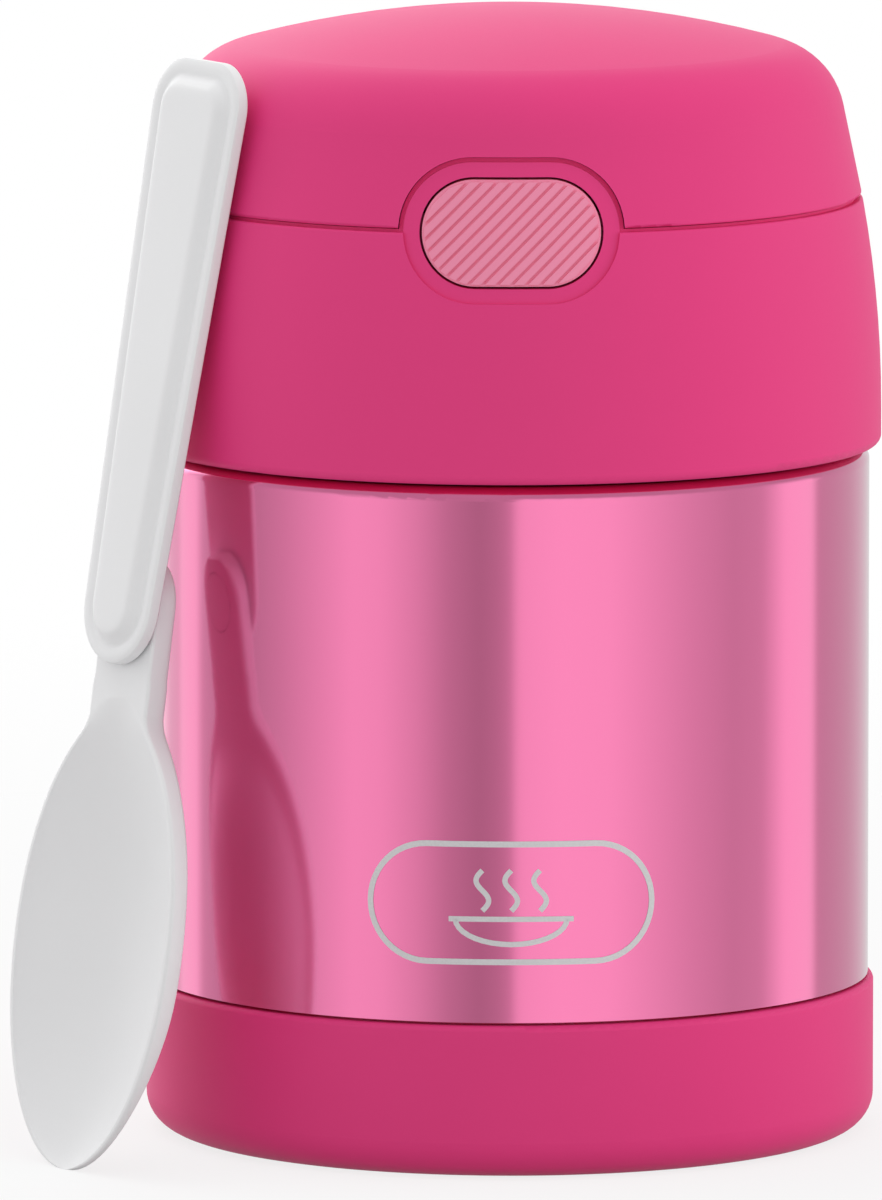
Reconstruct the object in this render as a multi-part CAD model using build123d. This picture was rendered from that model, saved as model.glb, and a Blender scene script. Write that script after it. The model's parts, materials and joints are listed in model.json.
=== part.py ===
from build123d import *
import math
import os

# Insulated food jar with a screw lid, a pop-up cover over a spoon compartment,
# and a folding spoon that leans against the jar.
# Millimetres. The origin is the centre of the jar's base on the floor, +Z is up,
# and the latch button faces -Y.

# ---------------------------------------------------------------- heights, from the top down
LID_H = 134.8               # top of the dome
COVER_H = 22.55             # dome above the middle of the parting gap
COLLAR_H = 29.65            # collar below it
WAIST_H = 4.2               # the collar is straight up to here, then curves in
COLLAR_GAP = 0.4            # collar to the jar's shoulder
DECK_DROP = 10.05           # underside of the lid's deck below the parting gap
FLANGE_T = 1.6              # flange of the stopper
GASKET_T = 1.8              # sealing ring between the rim and the stopper flange
LINER_DROP = 2.4            # the liner starts to narrow this far below the shoulder
PARTING_Z = LID_H - COVER_H
COLLAR_Z = PARTING_Z - COLLAR_H
WAIST_Z = COLLAR_Z + WAIST_H
SHOULDER_Z = COLLAR_Z - COLLAR_GAP
DECK_Z = PARTING_Z - DECK_DROP
RIM_Z = DECK_Z - FLANGE_T - GASKET_T
LINER_SHOULDER_Z = SHOULDER_Z - LINER_DROP

# ---------------------------------------------------------------- radii, from the steel body
STEEL_R = 43.0              # outside of the steel body
SHOULDER_W = 4.4            # width of the shoulder
MOUTH_STEP = 5.1            # rim, from the outside of the neck to the mouth
VACUUM_W = 4.6              # outside of the body to the inside of the liner
COLLAR_STEP = 1.4           # the collar stands out from the steel body by this
SWELL_IN = 2.35             # the collar curves in by this up to the parting gap
COVER_IN = 3.45             # and the cover's side by this up to the dome
THREAD_ROOM = 1.8           # neck to the skirt that carries the lid's thread
RIM_WALL = 2.15             # wall of the collar at the parting gap
NECK_R = STEEL_R - SHOULDER_W
MOUTH_R = NECK_R - MOUTH_STEP
LINER_R = STEEL_R - VACUUM_W
COLLAR_R = STEEL_R + COLLAR_STEP
PARTING_R = COLLAR_R - SWELL_IN
COVER_EDGE_R = PARTING_R - COVER_IN
SKIRT_BORE_R = NECK_R + THREAD_ROOM
COLLAR_BORE_R = PARTING_R - RIM_WALL

# ---------------------------------------------------------------- jar body
STEEL_WALL = 0.5            # sheet thickness of both steel walls
SHOULDER_ROUND = 1.6        # corner between the body and the shoulder
LINER_FLOOR_Z = 11.6        # inside floor of the food space
LINER_FLOOR_ROUND = 9.0     # corner of the food space floor

# ---------------------------------------------------------------- base cap
BASE_STEP = 0.65            # base cap stands out from the steel body by this
BASE_H = 18.4               # top edge of the base cap
BASE_ROUND = 4.4            # bottom corner of the base cap
BASE_WALL = 1.75            # wall of the base cap
BASE_LIP_ROUND = 0.7        # upper edge of the base cap
BASE_FLOOR = 2.8            # floor of the base cap
BASE_GROOVE_IN = 13.0       # ring groove under the base cap, inside the body
BASE_GROOVE_R = STEEL_R - BASE_GROOVE_IN
BASE_GROOVE_W = 1.2
BASE_GROOVE_D = 0.6
BASE_GAP = 0.36             # shadow gap between the base cap and the steel body

# ---------------------------------------------------------------- vacuum parts
BOTTOM_LIFT = 0.8           # closing disc above the end of the steel wall
DISC_GAP = 0.05             # closing disc to the steel wall
DIMPLE_R = 8.0              # evacuation dimple in the closing disc
DIMPLE_H = 1.4
SEAL_HOLE_R = 1.0           # evacuation hole
SEAL_R = 3.2                # solder bead that closes the hole
SEAL_H = 1.0
GETTER_R = 4.0              # gas-absorbing pellet
GETTER_H = 1.8
GETTER_AT = 22.0            # distance of the pellet from the axis
FOIL_GAP = 0.25             # foil wrap around the liner
FOIL_T = 0.3
FOIL_MARGIN = 6.0           # bare liner above and below the foil

# ---------------------------------------------------------------- lid form
COLLAR_ROUND = 1.1
PARTING_GAP = 0.45
DOME_R = 125.0              # sphere radius of the top
COVER_ROUND = 9.5           # shoulder of the cover
EDGE_ROUND = 0.3            # broken edges along the parting gap
LIP_INSET = 0.8             # lip on the collar that closes the gaps, behind the lid's surface
LIP_GAP = 0.12              # between the lip and the cover

# ---------------------------------------------------------------- lid inside
DECK_T = 1.8
DECK_SHELF = 5.5            # the deck reaches this far inside the mouth
DECK_HOLE_R = MOUTH_R - DECK_SHELF
COVER_WALL = 2.0
GASKET_IN = 1.0             # sealing ring inside the edge of the rim
GASKET_R = NECK_R - GASKET_IN
STOPPER_ROOM = 0.5          # plug to the mouth
STOPPER_R = MOUTH_R - STOPPER_ROOM
STOPPER_H = 12.0            # plug below the rim
STOPPER_Z = RIM_Z - STOPPER_H
STOPPER_WALL = 1.6
STOPPER_ROUND = 2.5
FLANGE_IN = 0.2             # flange of the stopper inside the edge of the rim
FLANGE_R = NECK_R - FLANGE_IN
FOAM_GAP = 0.2
SEAT_GAP = 0.15             # light clearance between pieces that are pushed together

# ---------------------------------------------------------------- spoon tray
TRAY_GAP = 0.5              # tray to the collar
TRAY_R = COLLAR_BORE_R - TRAY_GAP
TRAY_FLOOR = 1.2
TRAY_WALL = 1.2
TRAY_H = 4.4
LATCH_ROOM = 11.5           # the tray stops this far short of the collar, for the latch
TRAY_FRONT_Y = LATCH_ROOM - COLLAR_BORE_R
HINGE_ROOM = 8.05           # and this far short of the parting gap at the back, for the hinge
TRAY_BACK_Y = PARTING_R - HINGE_ROOM

# ---------------------------------------------------------------- button and latch
BEZEL_DROP = 0.15           # centre of bezel and button below the parting gap
BEZEL_Z = PARTING_Z - BEZEL_DROP
BEZEL_W = 25.4
BEZEL_H = 16.4
BEZEL_INSET = 0.35          # bezel face behind the lid's surface
BEZEL_WALL = 2.0
ARCH_GAP = 0.6              # cover's arch around the bezel
BUTTON_W = 21.0
BUTTON_H = 12.35
BUTTON_GAP = 0.3
BUTTON_INSET = 0.05         # crest of the button's ribs behind the lid's surface
BUTTON_IN = 2.5             # flat back of the button inside the collar
BUTTON_BACK_Y = BUTTON_IN - COLLAR_BORE_R
BUTTON_TRAVEL = 2.0
RIB_PITCH = 1.2             # diagonal grip ribs on the button
RIB_W = 0.85
RIB_H = 0.35
RIB_MARGIN = 0.25           # plain border around the ribs
RIB_ANGLE = 45.0
RIB_LENGTH = 60.0           # longer than the button's diagonal
SLIDE_T = 1.6               # latch slide behind the button
SLIDE_W = 22.6
SLIDE_DOWN = 5.45           # slide below the middle of the button
SLIDE_UP = 1.95             # and above it
SLIDE_Z0 = BEZEL_Z - SLIDE_DOWN
SLIDE_Z1 = BEZEL_Z + SLIDE_UP
ARM_W = 8.0                 # arm that carries the latch nose
ARM_T = 1.6
NOSE_H = 1.5
NOSE_REACH = 1.0            # nose in front of the arm
NOSE_CLEAR = 0.6            # nose to catch rib, so that either can move by itself
CATCH_LIFT = 1.0            # underside of the catch rib above the cover's arch
CATCH_Z = BEZEL_Z + BEZEL_H / 2 + ARCH_GAP + CATCH_LIFT
CATCH_H = 1.5
CATCH_W = 10.0
CATCH_IN = 2.9              # inner face of the catch rib inside the collar
CATCH_Y = CATCH_IN - COLLAR_BORE_R
BUTTON_SPRING_R = 2.4       # return spring behind the slide
BUTTON_SPRING_WIRE = 0.45
BUTTON_SPRING_TURNS = 3.0
SPRING_GAP = 0.1            # spring to its seats
SEAT_W = 9.0                # bracket that backs the return spring
SEAT_T = 1.5
SEAT_MARGIN = 0.35          # room left behind the pressed latch arm

# ---------------------------------------------------------------- cover hinge
HINGE_IN = 2.45             # hinge axis inside the parting gap
HINGE_UP = 0.4              # and above it
HINGE_Y = PARTING_R - HINGE_IN
HINGE_Z = PARTING_Z + HINGE_UP
PIN_R = 0.75
PIN_GAP = 0.05
KNUCKLE_R = 2.3
BARREL_W = 20.0             # whole hinge, along X
COVER_KNUCKLE_W = 9.6       # the cover's pair of knuckles together
KNUCKLE_GAP = 0.25          # between neighbouring knuckles
NOTCH_GAP = 0.3             # around the barrel
RELIEF_R = 3.7              # scallop in the collar for the cover's rear edge
SIDE_RELIEF_R = 2.0         # shallower scallop beside the barrel
SIDE_RELIEF_W = 29.4
BRACKET_T = 3.4             # thickness of the brackets that carry the barrel
BRACKET_Y = HINGE_Y - BRACKET_T
ARM_H = 5.55                # the knuckle arms merge into the cover below this height
ARM_TOP_Z = HINGE_Z + ARM_H
TORSION_W = 3.0             # spring between the cover's two knuckles
TORSION_R = 1.38
TORSION_WIRE = 0.5
TORSION_GAP = 0.35
TORSION_TURNS = 3.5
TORSION_LEG = 5.0
WEB_T = 1.4                 # thickness of the cross web that the spring's lower leg rests on
WEB_Y = BRACKET_Y - WEB_T
TAB_T = 1.4                 # tab of the cover over the spring's upper leg

# ---------------------------------------------------------------- spoon
SPOON_AZIMUTH = 35.0        # its face looks this far forward of -X
LEAN_GAP = 0.868            # back of the handle to the lid at the parting gap, level
SPOON_TIP_SIDE = 1.9        # tip beside the face direction
LEAN_ANGLE = 10.42          # leans this far towards the jar
SIDE_ANGLE = 3.3            # and this far along the jar's side
HANDLE_TURN = 4.0           # the handle is folded by this, out of line with the bowl
BOWL_W = 33.0               # bowl rim, outside
BOWL_L = 54.0
BOWL_DEPTH = 8.2
BOWL_FLARE = 5.0            # ellipsoid centre in front of the rim plane
BOWL_WALL = 2.1
SPOON_GAP = 0.3             # bowl rim and neck behind the back of the handle
NECK_W = 11.6
NECK_T = 3.4
NECK_ROOT = 6.5             # the neck starts this far inside the bowl's outline
PIVOT_Y = 67.2              # fold pivot, from the tip
HANDLE_END_R = 7.1          # round end of the handle at the pivot
HANDLE_W = 18.4             # far end of the handle
HANDLE_L = 72.3             # whole handle
HANDLE_CORNER = 6.0
HANDLE_T = 1.6              # flange of the handle
PANEL_INSET = 2.5           # raised panel inside the flange
PANEL_T = 1.0
PANEL_ROUND = 0.7
FLANGE_ROUND = 0.45
RIVET_R = 2.2
RIVET_GAP = 0.05
RIVET_HEAD_R = 3.6
RIVET_HEAD_T = 1.2
RIVET_DEPTH = 1.5           # how far the rivet goes into the handle

FAR = 200.0                 # larger than the object, for cutting blocks


# ---------------------------------------------------------------- helpers
def turned(*corners):
    """Solid of revolution from (radius, height, corner round) points."""
    outline = make_face(Polyline(*[(r, z) for r, z, _ in corners], close=True))
    for r, z, corner_round in corners:
        if corner_round:
            corner = outline.vertices().sort_by_distance((r, z))[0]
            outline = fillet(corner, corner_round)
    return revolve(Plane.XZ * outline, Axis.Z)


def ring(outer_r, inner_r, low_z, high_z):
    """Plain tube about the jar's axis."""
    return turned((inner_r, low_z, 0), (outer_r, low_z, 0), (outer_r, high_z, 0), (inner_r, high_z, 0))


def disc(radius, low_z, high_z):
    """Plain disc about the jar's axis."""
    return Pos(0, 0, low_z) * Cylinder(
        radius, high_z - low_z, align=(Align.CENTER, Align.CENTER, Align.MIN)
    )


def block(x0, x1, y0, y1, z0, z1):
    """Box between two corners."""
    return Pos((x0 + x1) / 2, (y0 + y1) / 2, (z0 + z1) / 2) * Box(x1 - x0, y1 - y0, z1 - z0)


def rod_x(radius, x0, x1, y=HINGE_Y, z=HINGE_Z):
    """Round bar along X."""
    return Pos((x0 + x1) / 2, y, z) * Rot(0, 90, 0) * Cylinder(radius, x1 - x0)


def front_slot(width, height, near_y, far_y):
    """Obround prism through the front of the lid, from near_y outwards to far_y."""
    plane = Plane.XZ.offset(-near_y)
    return extrude(plane * Pos(0, BEZEL_Z) * SlotOverall(width, height), near_y - far_y)


def dome_z(radius):
    """Height of the dome at a radius."""
    return LID_H - DOME_R + math.sqrt(DOME_R ** 2 - radius ** 2)


def side_corners(inset):
    """Top of the swell and edge of the dome, both moved in by the inset."""
    rise = Vector(COVER_EDGE_R - PARTING_R, dome_z(COVER_EDGE_R) - PARTING_Z).normalized()
    start = Vector(PARTING_R, PARTING_Z) + Vector(-rise.Y, rise.X) * inset
    from_centre = start - Vector(0, LID_H - DOME_R)
    along = from_centre.dot(rise)
    reach = math.sqrt(along ** 2 - from_centre.dot(from_centre) + (DOME_R - inset) ** 2)
    return start, start + rise * (reach - along)


def lid_form(inset=0.0):
    """Outer form of the whole lid, or the form inset by a wall."""
    low = COLLAR_Z + inset
    radius = COLLAR_R - inset
    top = LID_H - inset
    start, edge = side_corners(inset)
    middle = LID_H - DOME_R + math.sqrt((DOME_R - inset) ** 2 - (edge.X / 2) ** 2)
    side = Polyline((0, low), (radius, low), (radius, WAIST_Z))
    swell = TangentArc((radius, WAIST_Z), (start.X, start.Y), tangent=(0, 1))
    slope = Line((start.X, start.Y), (edge.X, edge.Y))
    dome = ThreePointArc((edge.X, edge.Y), (edge.X / 2, middle), (0, top))
    half = make_face([*side.edges(), swell, slope, dome, Line((0, top), (0, low))])
    low_round = min(COLLAR_ROUND, (WAIST_Z - low) / 2)
    half = fillet(half.vertices().sort_by_distance((radius, low))[0], low_round)
    half = fillet(half.vertices().sort_by_distance((edge.X, edge.Y))[0], COVER_ROUND - inset)
    return revolve(Plane.XZ * half, Axis.Z)


def coil(radius, wire, turns, length, leg=0.0):
    """Coil spring along +Z from the origin, with straight legs off its two ends."""
    pitch = (length - wire) / turns
    path = Pos(0, 0, wire / 2) * Helix(pitch, length - wire, radius)
    start, end = path @ 0, path @ 1
    section = Plane(origin=start, z_dir=path % 0) * Circle(wire / 2)
    if leg:
        first = Line(start - (path % 0) * leg, start)
        last = Line(end, end + (path % 1) * leg)
        section = Plane(origin=first @ 0, z_dir=path % 0) * Circle(wire / 2)
        path = Wire([*first.edges(), *path.edges(), *last.edges()])
    return sweep(section, path=path)


# ---------------------------------------------------------------- jar
def base_bore_r():
    """Inside of the base cap."""
    return STEEL_R + BASE_STEP - BASE_WALL


def outer_shell():
    """Steel outer wall: body, stepped seat for the base cap, shoulder and neck."""
    seat_r = base_bore_r() - SEAT_GAP
    seat_z = BASE_H + BASE_GAP
    wall = STEEL_WALL
    top_z = RIM_Z - wall
    outside = turned(
        (0, BASE_FLOOR, 0), (seat_r, BASE_FLOOR, 0), (seat_r, seat_z, 0), (STEEL_R, seat_z, 0),
        (STEEL_R, SHOULDER_Z, SHOULDER_ROUND), (NECK_R, SHOULDER_Z, 0.8), (NECK_R, top_z, 0), (0, top_z, 0),
    )
    inside = turned(
        (0, 0, 0), (seat_r - wall, 0, 0), (seat_r - wall, seat_z + wall, 0), (STEEL_R - wall, seat_z + wall, 0),
        (STEEL_R - wall, SHOULDER_Z - wall, SHOULDER_ROUND - wall),
        (NECK_R - wall, SHOULDER_Z - wall, 0.8), (NECK_R - wall, FAR, 0), (0, FAR, 0),
    )
    return outside - inside


def inner_vessel():
    """Steel liner with its narrowed mouth; its rim turns out over the shell's neck."""
    wall = STEEL_WALL
    narrow_z = LINER_SHOULDER_Z + (LINER_R - MOUTH_R)
    outside = turned(
        (0, LINER_FLOOR_Z - wall, 0), (LINER_R + wall, LINER_FLOOR_Z - wall, LINER_FLOOR_ROUND + wall),
        (LINER_R + wall, LINER_SHOULDER_Z, 2.0), (MOUTH_R + wall, narrow_z, 2.0),
        (MOUTH_R + wall, RIM_Z - wall, 0), (NECK_R, RIM_Z - wall, 0), (NECK_R, RIM_Z, wall / 2), (0, RIM_Z, 0),
    )
    inside = turned(
        (0, LINER_FLOOR_Z, 0), (LINER_R, LINER_FLOOR_Z, LINER_FLOOR_ROUND), (LINER_R, LINER_SHOULDER_Z, 2.0),
        (MOUTH_R, narrow_z, 2.0), (MOUTH_R, FAR, 0), (0, FAR, 0),
    )
    return outside - inside


def shell_bottom():
    """Disc that closes the vacuum space, with the evacuation dimple and hole."""
    radius = base_bore_r() - SEAT_GAP - STEEL_WALL - DISC_GAP
    low = BASE_FLOOR + BOTTOM_LIFT
    wall = 2 * STEEL_WALL
    top = low + DIMPLE_H
    return turned(
        (SEAL_HOLE_R, top, 0), (DIMPLE_R, top, 0.5), (DIMPLE_R, low, 0), (radius, low, 0), (radius, low + wall, 0),
        (DIMPLE_R + wall, low + wall, 0), (DIMPLE_R + wall, top + wall, 0.5), (SEAL_HOLE_R, top + wall, 0),
    )


def vacuum_seal():
    """Bead under the evacuation hole."""
    top = BASE_FLOOR + BOTTOM_LIFT + DIMPLE_H
    return turned((0, top - SEAL_H, 0), (SEAL_R, top - SEAL_H, SEAL_H * 0.6), (SEAL_R, top, 0), (0, top, 0))


def getter():
    """Pellet that keeps the vacuum, spot-welded on the closing disc."""
    low = BASE_FLOOR + BOTTOM_LIFT + 2 * STEEL_WALL
    return Pos(GETTER_AT, 0, low) * Cylinder(
        GETTER_R, GETTER_H, align=(Align.CENTER, Align.CENTER, Align.MIN)
    )


def foil_wrap():
    """Radiation foil around the liner, inside the vacuum."""
    inner = LINER_R + STEEL_WALL + FOIL_GAP
    low = LINER_FLOOR_Z + LINER_FLOOR_ROUND
    return ring(inner + FOIL_T, inner, low, LINER_SHOULDER_Z - FOIL_MARGIN)


def base_cap():
    """Moulded cup that covers the foot of the steel body."""
    radius = STEEL_R + BASE_STEP
    cup = turned((0, 0, 0), (radius, 0, BASE_ROUND), (radius, BASE_H, BASE_LIP_ROUND), (0, BASE_H, 0))
    bore = disc(base_bore_r(), BASE_FLOOR, FAR)
    return cup - bore - ring(BASE_GROOVE_R + BASE_GROOVE_W, BASE_GROOVE_R, 0, BASE_GROOVE_D)


# ---------------------------------------------------------------- lid
def lid_gasket():
    """Silicone ring between the jar's rim and the stopper flange."""
    lip = 0.5
    inner = STOPPER_R + SEAT_GAP
    return turned(
        (inner, RIM_Z, 0), (GASKET_R, RIM_Z, lip), (GASKET_R, RIM_Z + GASKET_T, lip), (inner, RIM_Z + GASKET_T, 0)
    )


def stopper_cup():
    """Plug with its flange, hollow for the foam."""
    flange_z = RIM_Z + GASKET_T
    body = turned(
        (0, STOPPER_Z, 0), (STOPPER_R, STOPPER_Z, STOPPER_ROUND), (STOPPER_R, flange_z, 0), (FLANGE_R, flange_z, 0),
        (FLANGE_R, DECK_Z, 0), (0, DECK_Z, 0),
    )
    hollow_r = STOPPER_R - STOPPER_WALL
    return body - turned(
        (0, STOPPER_Z + STOPPER_WALL, 0), (hollow_r, STOPPER_Z + STOPPER_WALL, STOPPER_ROUND), (hollow_r, FAR, 0),
        (0, FAR, 0),
    )


def stopper_foam():
    """Insulating disc inside the stopper."""
    radius = STOPPER_R - STOPPER_WALL - FOAM_GAP
    low = STOPPER_Z + STOPPER_WALL
    return turned((0, low, 0), (radius, low, STOPPER_ROUND), (radius, DECK_Z - FOAM_GAP, 0), (0, DECK_Z - FOAM_GAP, 0))


def lid_collar(form):
    """Threaded lower half of the lid, with the deck, bezel, spring seat and hinge barrels."""
    deck_top = DECK_Z + DECK_T
    top = PARTING_Z - PARTING_GAP / 2
    body = form & disc(FAR, 0, top)
    rim_edge = body.edges().group_by(Axis.Z)[-1]
    body = fillet(rim_edge, EDGE_ROUND)
    body -= disc(SKIRT_BORE_R, 0, DECK_Z)
    body -= disc(DECK_HOLE_R, 0, FAR)
    body -= disc(COLLAR_BORE_R, deck_top, FAR)
    face = lid_form(BEZEL_INSET)
    pocket = front_slot(BEZEL_W, BEZEL_H, COLLAR_BORE_R * -0.85, -FAR)
    body -= pocket - face
    body += pocket & (face - lid_form(BEZEL_INSET + BEZEL_WALL))
    body += gap_lip(top)
    body -= front_slot(BUTTON_W + 2 * BUTTON_GAP, BUTTON_H + 2 * BUTTON_GAP, COLLAR_BORE_R * -0.8, -FAR)
    body += spring_seat()
    body -= hinge_relief()
    body += hinge_brackets(form)
    return body - rod_x(PIN_R + PIN_GAP, -FAR, FAR)


def gap_lip(top):
    """Lip behind the parting gap and behind the cover's arch."""
    under_cover = PARTING_Z + PARTING_GAP / 2 - LIP_GAP
    reach = 2 * (ARCH_GAP - LIP_GAP)
    ridge = front_slot(BEZEL_W + reach, BEZEL_H + reach, COLLAR_BORE_R * -0.85, -FAR)
    ridge &= lid_form(LIP_INSET) - lid_form(BEZEL_INSET + BEZEL_WALL)
    return ring(PARTING_R - LIP_INSET, COLLAR_BORE_R, top - LIP_INSET, under_cover) + ridge


def spring_seat():
    """Bracket on the deck behind the button's return spring."""
    front = BUTTON_BACK_Y + SLIDE_T + button_spring_length() + 2 * SPRING_GAP
    top = SLIDE_Z1 - ARM_T
    seat = block(-SEAT_W / 2, SEAT_W / 2, front, front + SEAT_T, DECK_Z + DECK_T / 2, top)
    foot = block(-SEAT_W / 2, SEAT_W / 2, front, DECK_HOLE_R * -0.99, DECK_Z + DECK_T / 2, DECK_Z + DECK_T)
    return seat + foot


def button_spring_length():
    """Room between the latch slide and the spring seat, less a gap at each end."""
    shelf = BUTTON_BACK_Y + SLIDE_T
    arm_back = CATCH_Y + NOSE_CLEAR + NOSE_REACH + ARM_T
    return arm_back + BUTTON_TRAVEL + SEAT_MARGIN - shelf - 2 * SPRING_GAP


def hinge_relief():
    """Scallops about the hinge axis that let the cover's rear edge swing down."""
    half = BARREL_W / 2 + NOTCH_GAP
    slot = COVER_KNUCKLE_W / 2 + KNUCKLE_GAP
    deep = rod_x(RELIEF_R, -half, half)
    wide = rod_x(SIDE_RELIEF_R, -SIDE_RELIEF_W / 2, SIDE_RELIEF_W / 2)
    well = block(-slot, slot, HINGE_Y - RELIEF_R, FAR, HINGE_Z - RELIEF_R, FAR)
    return deep + wide + well


def hinge_brackets(form):
    """The collar's two barrels, the brackets under them and the web for the spring."""
    end = BARREL_W / 2
    start = COVER_KNUCKLE_W / 2 + KNUCKLE_GAP
    low = DECK_Z + DECK_T / 2
    brackets = Part()
    for side in (-1, 1):
        x0, x1 = sorted((side * start, side * end))
        brackets += rod_x(KNUCKLE_R, x0, x1)
        brackets += block(x0, x1, BRACKET_Y, HINGE_Y, low, HINGE_Z)
    web_top = HINGE_Z - TORSION_R - TORSION_WIRE / 2
    brackets += block(-end, end, WEB_Y, BRACKET_Y, low, web_top)
    return brackets & form


def spoon_tray():
    """Shallow tray on the deck, where the folded spoon lies."""
    low = DECK_Z + DECK_T

    def outline(inset, z0, z1):
        r = TRAY_R - inset
        return disc(r, z0, z1) & block(-FAR, FAR, TRAY_FRONT_Y + inset, TRAY_BACK_Y - inset, z0, z1)

    return outline(0, low, low + TRAY_H) - outline(TRAY_WALL, low + TRAY_FLOOR, low + TRAY_H)


def cover(form):
    """Hinged dome with the arch around the bezel, the catch rib and two knuckles."""
    low = PARTING_Z + PARTING_GAP / 2
    body = form & block(-FAR, FAR, -FAR, FAR, low, FAR)
    body = fillet(body.edges().group_by(Axis.Z)[0], EDGE_ROUND)
    hollow = lid_form(COVER_WALL)
    catch = block(-CATCH_W / 2, CATCH_W / 2, -FAR, CATCH_Y, CATCH_Z, CATCH_Z + CATCH_H)
    dome = body - hollow
    dome += catch & body
    dome -= front_slot(BEZEL_W + 2 * ARCH_GAP, BEZEL_H + 2 * ARCH_GAP, COLLAR_BORE_R * -0.8, -FAR)
    half = BARREL_W / 2 + NOTCH_GAP
    dome -= rod_x(KNUCKLE_R + NOTCH_GAP, -half, half)
    dome += cover_knuckles(form)
    return dome - rod_x(PIN_R + PIN_GAP, -FAR, FAR)


def cover_knuckles(form):
    """The cover's knuckles and the arms that join them to its wall."""
    inner = TORSION_W / 2 + TORSION_GAP
    outer = COVER_KNUCKLE_W / 2
    knuckles = Part()
    for side in (-1, 1):
        x0, x1 = sorted((side * inner, side * outer))
        arm = block(x0, x1, HINGE_Y - KNUCKLE_R, HINGE_Y + KNUCKLE_R, HINGE_Z, ARM_TOP_Z)
        knuckles += rod_x(KNUCKLE_R, x0, x1) + arm
    tab_z = HINGE_Z + TORSION_R + TORSION_WIRE / 2 + SPRING_GAP
    knuckles += block(-outer, outer, WEB_Y, HINGE_Y - KNUCKLE_R + TAB_T / 2, tab_z, tab_z + TAB_T)
    return knuckles & form


def hinge_pin():
    """Steel pin through all the knuckles."""
    return rod_x(PIN_R, -BARREL_W / 2 + 0.4, BARREL_W / 2 - 0.4)


def cover_spring():
    """Torsion spring on the pin; one leg on the web, the other under the cover's tab."""
    body = coil(TORSION_R, TORSION_WIRE, TORSION_TURNS, TORSION_W, TORSION_LEG)
    return Pos(-TORSION_W / 2, HINGE_Y, HINGE_Z) * Rot(0, 90, 0) * body


# ---------------------------------------------------------------- latch
def latch_button(form):
    """Push button with diagonal grip ribs on a face that follows the lid."""
    reach = block(-FAR, FAR, -FAR, BUTTON_BACK_Y, 0, FAR)
    prism = front_slot(BUTTON_W, BUTTON_H, BUTTON_BACK_Y, -FAR)
    body = prism & lid_form(BUTTON_INSET + RIB_H) & reach
    border = 2 * RIB_MARGIN
    field = front_slot(BUTTON_W - border, BUTTON_H - border, BUTTON_BACK_Y, -FAR) & lid_form(BUTTON_INSET)
    count = int((BUTTON_W + BUTTON_H) * math.sin(math.radians(RIB_ANGLE)) / RIB_PITCH / 2)
    slope = Pos(0, BUTTON_BACK_Y - COLLAR_ROUND, BEZEL_Z) * Rot(0, -RIB_ANGLE, 0)
    bars = Part()
    for i in range(-count, count + 1):
        height = i * RIB_PITCH
        bars += slope * block(
            -RIB_LENGTH / 2, RIB_LENGTH / 2, -FAR, 0, height - RIB_W / 2, height + RIB_W / 2
        )
    return body + (field & bars)


def latch_slide():
    """Slide on the back of the button, with the arm and nose that hold the cover."""
    back = BUTTON_BACK_Y + SLIDE_T
    nose_y = CATCH_Y + NOSE_CLEAR
    arm_y = nose_y + NOSE_REACH
    nose_z = CATCH_Z + CATCH_H + 0.3
    half = ARM_W / 2
    plate = block(-SLIDE_W / 2, SLIDE_W / 2, BUTTON_BACK_Y, back, SLIDE_Z0, SLIDE_Z1)
    shelf = block(-half, half, BUTTON_BACK_Y, arm_y + ARM_T, SLIDE_Z1 - ARM_T, SLIDE_Z1)
    arm = block(-half, half, arm_y, arm_y + ARM_T, SLIDE_Z1 - ARM_T, nose_z + NOSE_H)
    nose = block(-half, half, nose_y, arm_y, nose_z, nose_z + NOSE_H)
    return plate + shelf + arm + nose


def button_spring():
    """Return spring between the latch slide and its seat."""
    spring = coil(BUTTON_SPRING_R, BUTTON_SPRING_WIRE, BUTTON_SPRING_TURNS, button_spring_length())
    start_y = BUTTON_BACK_Y + SLIDE_T + SPRING_GAP
    height = (SLIDE_Z0 + SLIDE_Z1 - ARM_T) / 2
    return Pos(0, start_y, height) * Rot(-90, 0, 0) * spring


# ---------------------------------------------------------------- spoon
def spoon_plane():
    """Plane of the spoon: x across it, y from tip to handle, z out of its face."""
    angle = math.radians(SPOON_AZIMUTH)
    outward = Vector(-math.cos(angle), -math.sin(angle), 0)
    sideways = Vector(-math.sin(angle), math.cos(angle), 0)
    lean_in = math.tan(math.radians(LEAN_ANGLE))
    lean_side = math.tan(math.radians(SIDE_ANGLE))
    along = (outward * -lean_in + sideways * lean_side + Vector(0, 0, 1)).normalized()
    face = (outward - along * outward.dot(along)).normalized()
    tip_r = PARTING_R + LEAN_GAP + PARTING_Z * lean_in
    tip = outward * tip_r + sideways * SPOON_TIP_SIDE
    across = along.cross(face)
    low = BOWL_L / 2 * along.Z - SPOON_GAP * face.Z
    low -= math.hypot(BOWL_W / 2 * across.Z, BOWL_L / 2 * along.Z)
    tip -= Vector(0, 0, low + 0.05)
    return Plane(origin=tip, x_dir=across, z_dir=face)


def bowl_form(shrink, rim_z):
    """Ellipsoid whose section at the rim plane is the bowl's outline."""
    depth = BOWL_DEPTH + BOWL_FLARE
    spread = math.sqrt(1 - (BOWL_FLARE / depth) ** 2)
    size = (BOWL_W / 2 / spread - shrink, BOWL_L / 2 / spread - shrink, depth - shrink)
    return Pos(0, BOWL_L / 2, rim_z + BOWL_FLARE) * scale(Sphere(1), by=size)


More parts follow.
